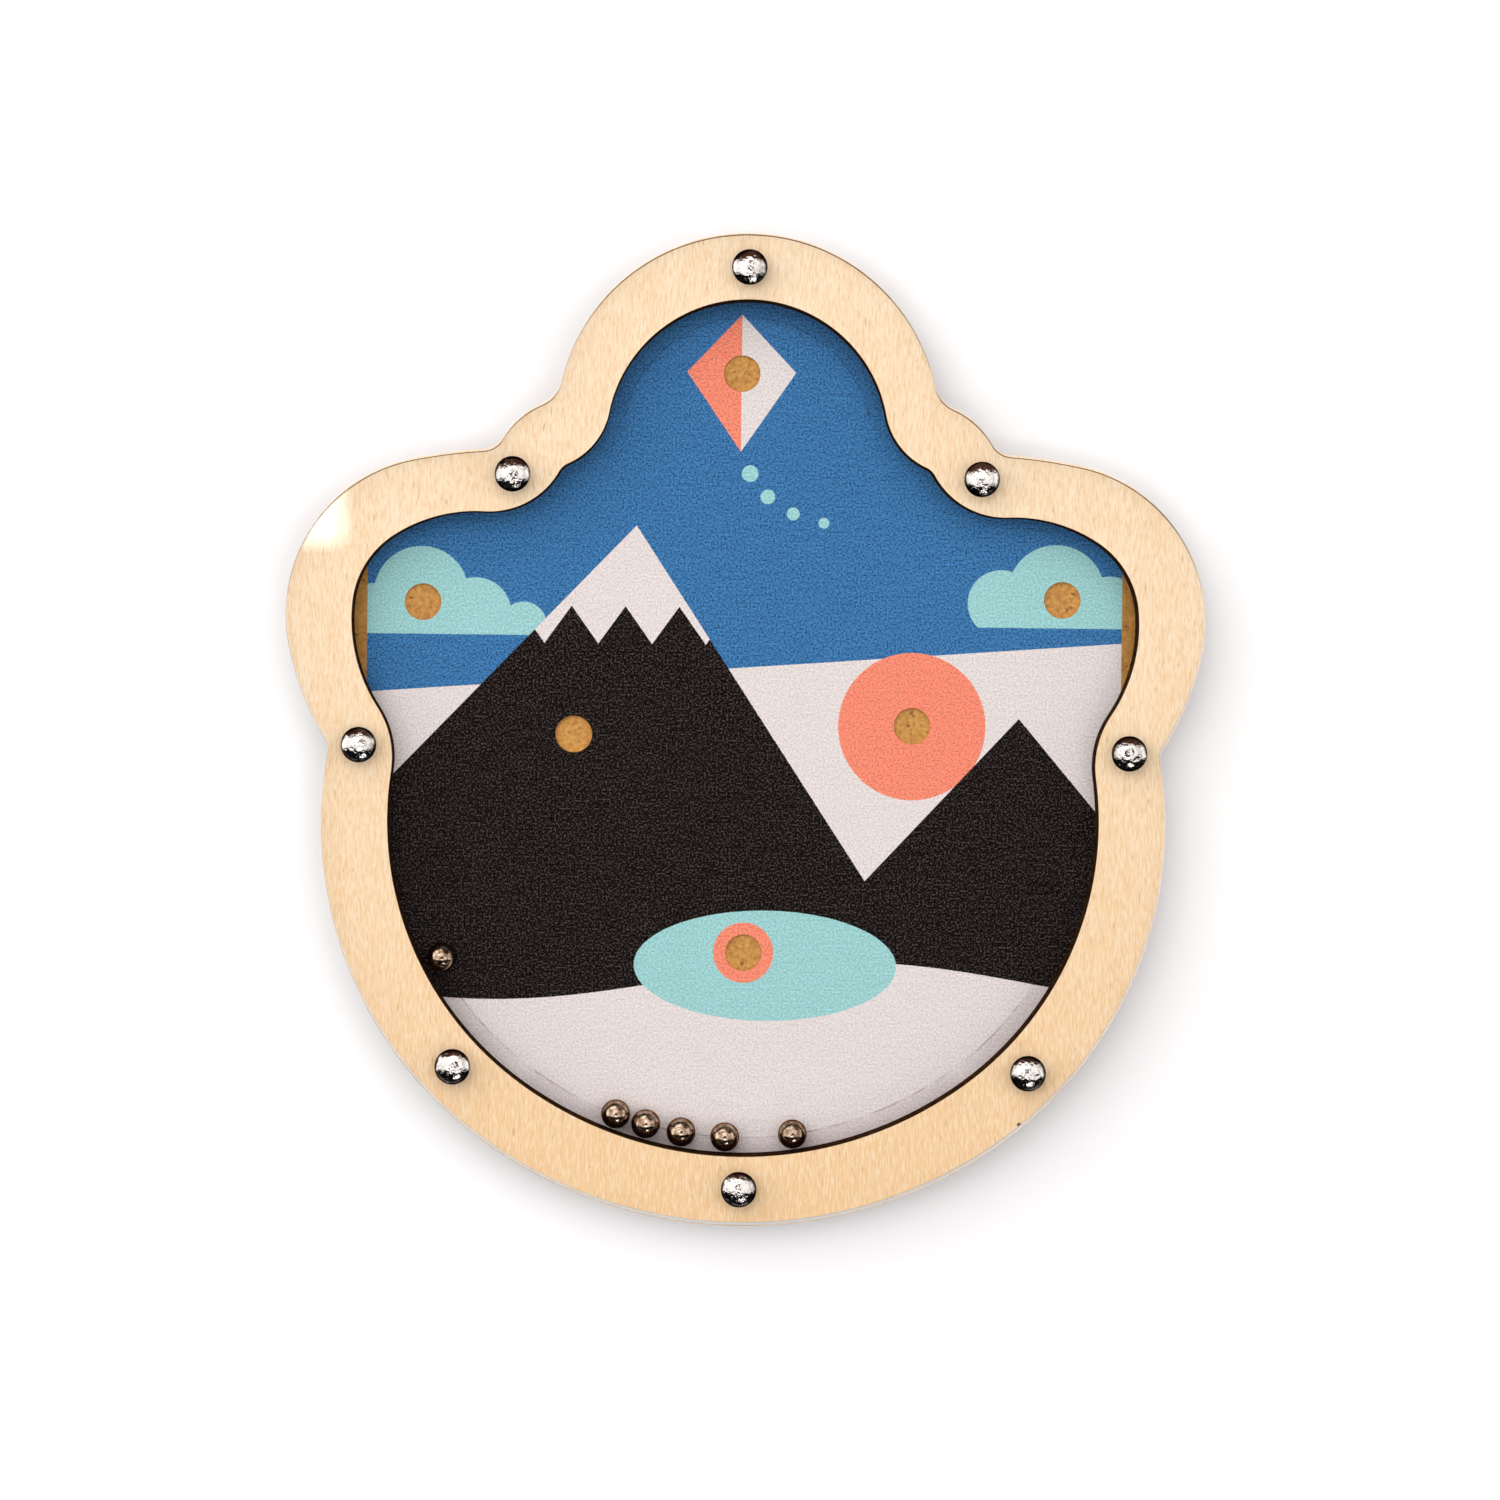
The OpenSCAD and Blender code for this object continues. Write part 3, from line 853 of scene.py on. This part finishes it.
# %% [markdown]
# ## Balls
# Bearing balls are true spheres, and the CAD nodes already are. They only need their finish.

# %% Balls
balls = [node for node in frame["nodes"] if node.startswith("ball_")]
for node in balls:
    ball = frame["nodes"][node].data
    ball.materials.clear()
    ball.materials.append(steel)
print("balls in steel:", len(balls))

# %% [markdown]
# ## Floor
# A plain white table. It is lit like the puzzle and keeps the soft shadow. A touch of own light, seen by
# the camera, in mirrors and through the acrylic, lifts it to the photograph's white without more light
# on the wood.

# %% Floor
TABLE_RADIUS = 6.0
TABLE_DROP = 0.02 * MM
TABLE_GLOW = 0.09
white_table, tree, shader, place = new_finish("white_table", Roughness=0.9)
paper = cloudy(tree, place, (300, 300, 300))
plug(tree, tint(tree, paper, (0.9, 0.9, 0.9, 1.0), (0.92, 0.92, 0.92, 1.0)), shader.inputs["Base Color"])
ray = tree.nodes.new("ShaderNodeLightPath")
seen = calc(tree, "ADD", ray.outputs["Is Camera Ray"], ray.outputs["Is Glossy Ray"])
seen = calc(tree, "ADD", seen, ray.outputs["Is Transmission Ray"])
shader.inputs["Emission Color"].default_value = (1.0, 1.0, 1.0, 1.0)
plug(tree, calc(tree, "MULTIPLY", seen, TABLE_GLOW), shader.inputs["Emission Strength"])
shape = bmesh.new()
bmesh.ops.create_circle(shape, cap_ends=True, segments=96, radius=TABLE_RADIUS)
bmesh.ops.translate(shape, verts=shape.verts, vec=(0, 0, -TABLE_DROP))
mesh = bpy.data.meshes.new("white_table")
shape.to_mesh(mesh)
shape.free()
mesh.materials.append(white_table)
table = bpy.data.objects.new("white_table", mesh)
bpy.context.scene.collection.objects.link(table)
print("table radius in m:", TABLE_RADIUS)

# %% [markdown]
# ## Light
# The nail heads mirror what stood around the puzzle: a broad white bank overhead with a hole round the
# lens, pale walls left and right, a bright window in front, and darkness elsewhere. The hole keeps the
# bank's mirror image off the window sheet, all but one corner at the upper left. One large lamp can't
# have a hole, so the bank is made of plain rectangles. Their rims are faded a little to look soft.

# %% Soft boxes
SOFT_RIM = 0.01
BANK_HEIGHT = 1.0
PUZZLE = (0, 0, 0)


def soft_box(name, middle, size, radiance, aim=None):
    data = bpy.data.lights.new(name, "AREA")
    data.shape = "RECTANGLE"
    data.size, data.size_y = size
    data.energy = radiance * math.pi * size[0] * size[1]
    data.use_nodes = True
    tree = data.node_tree
    spot = tree.nodes.new("ShaderNodeNewGeometry").outputs["Parametric"]
    glow = 1.0
    for along, side in zip(split(tree, spot), size):
        off_middle = calc(tree, "ABSOLUTE", calc(tree, "SUBTRACT", along, 0.5))
        glow = calc(tree, "MULTIPLY", glow, fade(tree, off_middle, 0.5, 0.5 - SOFT_RIM / side))
    plug(tree, glow, tree.nodes["Emission"].inputs["Strength"])
    box = bpy.data.objects.new(name, data)
    box.location = middle
    if aim is not None:
        box.rotation_euler = (Vector(middle) - Vector(aim)).to_track_quat("Z", "Y").to_euler()
    bpy.context.scene.collection.objects.link(box)
    return box


def bank_part(name, left, right, low, high, radiance):
    middle = ((left + right) / 2, (low + high) / 2, BANK_HEIGHT)
    return soft_box(name, middle, (right - left, high - low), radiance)


print("bank height in m:", BANK_HEIGHT)

# %% Bank, walls and front window
bank_part("key_box", -0.5, -0.147, 0.051, 0.75, 2.4)
bank_part("left_bank", -0.9, -0.5, 0.051, 0.75, 2.2)
bank_part("near_left_bank", -0.9, -0.19, -0.42, 0.051, 1.7)
bank_part("far_bank", -0.147, 0.22, 0.2, 0.75, 2.5)
bank_part("near_bank", -0.19, 0.22, -0.42, -0.23, 4.4)
bank_part("right_bank", 0.22, 0.85, -0.42, 0.75, 1.6)
bank_part("left_wing", -1.9, -0.9, -0.42, 0.75, 1.5)
bank_part("right_wing", 0.85, 1.7, -0.42, 0.75, 1.0)
soft_box("left_wall", (-2.0, 0.3, 0.6), (1.8, 0.9), 2.9, aim=PUZZLE)
soft_box("right_wall", (1.8, 0.2, 0.6), (1.6, 0.9), 1.6, aim=PUZZLE)
soft_box("front_window", (0.33, -1.2, 1.0), (0.5, 0.25), 5.0, aim=PUZZLE)

# %% [markdown]
# ## Fills and hot spot
# The shadow falls towards the lower right, so more light has to come from the far left. Lamps there
# would show in the nail heads, which mirror a dark room on the far side. So these fills light the
# puzzle but are hidden from mirror rays. One small, bright box makes the glare on the window's corner.

# %% Fills and hot spot
FILLS = (
    bank_part("far_left_fill", -1.9, -0.5, 0.75, 1.6, 0.9),
    bank_part("far_fill", -0.5, 0.5, 0.75, 1.6, 1.1),
    soft_box("far_wall_fill", (-0.8, 1.8, 1.0), (2.0, 0.9), 2.0, aim=PUZZLE),
)
for fill in FILLS:
    fill.visible_glossy = False
soft_box("key_hot_spot", (-0.1735, 0.12, BANK_HEIGHT - 0.005), (0.053, 0.138), 7.5)
print("fills:", [fill.name for fill in FILLS])

# %% [markdown]
# ## Room
# The room behind the lamps is dim: nearly black overhead, a little warm on the far side, and pale low
# down, where the table meets it. The near side stays pale to a greater height.

# %% Room
world = bpy.data.worlds.new("dim_studio")
world.use_nodes = True
tree = world.node_tree
direction = tree.nodes.new("ShaderNodeTexCoord").outputs["Generated"]
depth, height = split(tree, direction)[1:]
dark = tint(tree, fade(tree, depth, -0.2, 0.4), (0.006, 0.006, 0.008, 1.0), (0.1, 0.042, 0.028, 1.0))
skyline = fade(tree, height, 0.06, fade(tree, depth, -0.7, 0.1, 0.3, 0.14))
plug(tree, tint(tree, skyline, (0.6, 0.58, 0.56, 1.0), dark), tree.nodes["Background"].inputs[0])
bpy.context.scene.world = world
print("world:", world.name)
